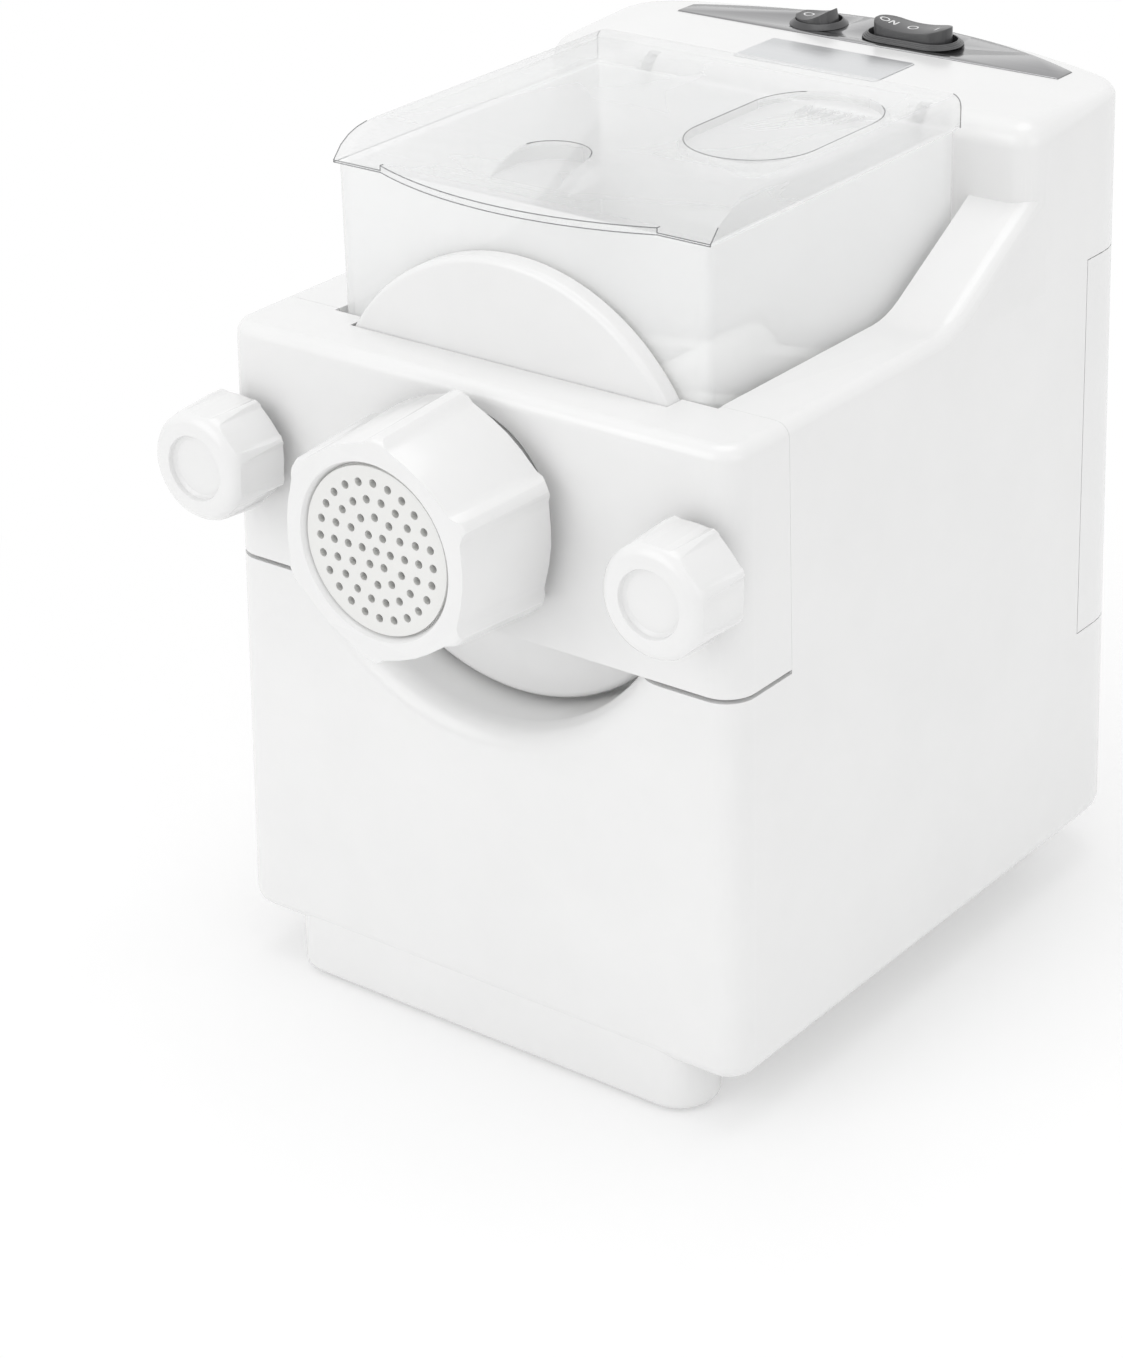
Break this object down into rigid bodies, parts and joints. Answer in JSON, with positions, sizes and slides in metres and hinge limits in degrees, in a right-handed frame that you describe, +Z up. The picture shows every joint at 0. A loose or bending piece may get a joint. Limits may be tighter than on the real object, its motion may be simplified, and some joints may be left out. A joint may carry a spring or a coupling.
{
  "type": "electric pasta maker",
  "caption": "Countertop pasta extruder with a clear mixing trough and hinged lid, clamped front bar, ring nut and die, rocker switches and a geared motor drive.",
  "frame": {"origin": "middle of the bounding box, on the plane the rubber feet stand on", "axes": "+Z up, -Y towards the die and the knobs, +X to the right seen from the front"},
  "size_m": [0.219, 0.306, 0.298],
  "materials": {
    "case_white": "satin moulded ABS",
    "clear_plastic": "clear polished",
    "panel_grey": "fine grain",
    "label_silver": "brushed",
    "switch_black": "semi gloss",
    "steel": "turned",
    "gearbox_alloy": "as cast",
    "gear_nylon": "moulded",
    "pinion_brass": "machined",
    "motor_paint": "satin",
    "fan_black": "moulded",
    "food_white": "moulded",
    "seal_rubber": "soft",
    "foot_rubber": "matt",
    "base_plastic": "moulded",
    "board_green": "board",
    "plunger_red": "moulded"
  },
  "bodies": {
    "housing": {"main_housing": "case_white", "rear_cover": "case_white", "crossbar": "case_white", "extruder_barrel": "case_white", "bowl": "clear_plastic", "control_panel": "panel_grey", "label_plate": "label_silver", "power_switch_case": "switch_black", "mode_switch_case": "switch_black", "interlock_switch": "switch_black", "clamp_studs": "steel", "gear_axles": "steel", "output_bearings": "steel", "motor_bracket": "steel", "base_screws": "steel", "cover_screws": "steel", "gearbox_screws": "steel", "gearbox_case": "gearbox_alloy", "gearbox_cover": "gearbox_alloy", "motor_case": "motor_paint", "barrel_gasket": "seal_rubber", "shaft_seal": "seal_rubber", "rubber_feet": "foot_rubber", "cord_gland": "foot_rubber", "base_plate": "base_plastic", "control_board": "board_green"},
    "lid": {"lid": "clear_plastic"},
    "die_carrier": {"die": "food_white"},
    "ring_nut": {"ring_nut": "case_white"},
    "washer_left": {"washer_left": "steel"},
    "knob_left": {"knob_left": "case_white"},
    "washer_right": {"washer_right": "steel"},
    "knob_right": {"knob_right": "case_white"},
    "power_rocker": {"power_rocker": "switch_black"},
    "mode_rocker": {"mode_rocker": "switch_black"},
    "rotor": {"motor_rotor": "steel", "motor_pinion": "pinion_brass", "cooling_fan": "fan_black"},
    "first_gear": {"first_gear": "gear_nylon"},
    "second_gear": {"second_gear": "gear_nylon"},
    "output": {"output_gear": "gear_nylon", "drive_shaft": "steel", "mixing_paddle": "food_white", "auger": "food_white"},
    "interlock_plunger": {"interlock_plunger": "plunger_red"}
  },
  "joints": [
    {"name": "lid_hinge", "type": "hinge", "parent": "housing", "child": "lid", "pos_m": [0, 0.066, 0.286], "axis": [-1, 0, 0], "range_deg": [0, 80]},
    {"name": "interlock_slide", "type": "slide", "parent": "housing", "child": "interlock_plunger", "axis": [0, -1, 0], "range_m": [0, 0.0016]},
    {"name": "nut_travel", "type": "slide", "parent": "housing", "child": "die_carrier", "axis": [0, -1, 0], "range_m": [0, 0.0081]},
    {"name": "nut_turn", "type": "hinge", "parent": "die_carrier", "child": "ring_nut", "pos_m": [0, -0.13, 0.1965], "axis": [0, -1, 0], "range_deg": [0, 720]},
    {"name": "knob_left_travel", "type": "slide", "parent": "housing", "child": "washer_left", "axis": [0, -1, 0], "range_m": [0, 0.0061]},
    {"name": "knob_left_turn", "type": "hinge", "parent": "washer_left", "child": "knob_left", "pos_m": [-0.0905, -0.12, 0.1965], "axis": [0, -1, 0], "range_deg": [0, 720]},
    {"name": "knob_right_travel", "type": "slide", "parent": "housing", "child": "washer_right", "axis": [0, -1, 0], "range_m": [0, 0.0061]},
    {"name": "knob_right_turn", "type": "hinge", "parent": "washer_right", "child": "knob_right", "pos_m": [0.0905, -0.12, 0.1965], "axis": [0, -1, 0], "range_deg": [0, 720]},
    {"name": "power_rock", "type": "hinge", "parent": "housing", "child": "power_rocker", "pos_m": [-0.026, 0.1275, 0.2889], "axis": [0, 1, 0], "range_deg": [0, 22]},
    {"name": "mode_rock", "type": "hinge", "parent": "housing", "child": "mode_rocker", "pos_m": [0.013, 0.1275, 0.2889], "axis": [0, 1, 0], "range_deg": [-11, 11]},
    {"name": "motor_spin", "type": "hinge", "parent": "housing", "child": "rotor", "pos_m": [0, 0.1, 0.0685], "axis": [0, 1, 0], "continuous": true},
    {"name": "first_gear_spin", "type": "hinge", "parent": "housing", "child": "first_gear", "pos_m": [0, 0.1, 0.106], "axis": [0, 1, 0], "continuous": true},
    {"name": "second_gear_spin", "type": "hinge", "parent": "housing", "child": "second_gear", "pos_m": [0, 0.1, 0.1465], "axis": [0, 1, 0], "continuous": true},
    {"name": "output_spin", "type": "hinge", "parent": "housing", "child": "output", "pos_m": [0, 0.1, 0.1965], "axis": [0, 1, 0], "continuous": true}
  ],
  "couplings": [
    {"joint": "interlock_slide", "follows": "lid_hinge", "m_per_rad": 0.00107},
    {"joint": "nut_travel", "follows": "nut_turn", "m_per_rad": 0.00063662},
    {"joint": "knob_left_travel", "follows": "knob_left_turn", "m_per_rad": 0.00047746},
    {"joint": "knob_right_travel", "follows": "knob_right_turn", "m_per_rad": 0.00047746},
    {"joint": "first_gear_spin", "follows": "motor_spin", "ratio": -0.25},
    {"joint": "second_gear_spin", "follows": "motor_spin", "ratio": 0.071429},
    {"joint": "output_spin", "follows": "motor_spin", "ratio": -0.022556}
  ]
}
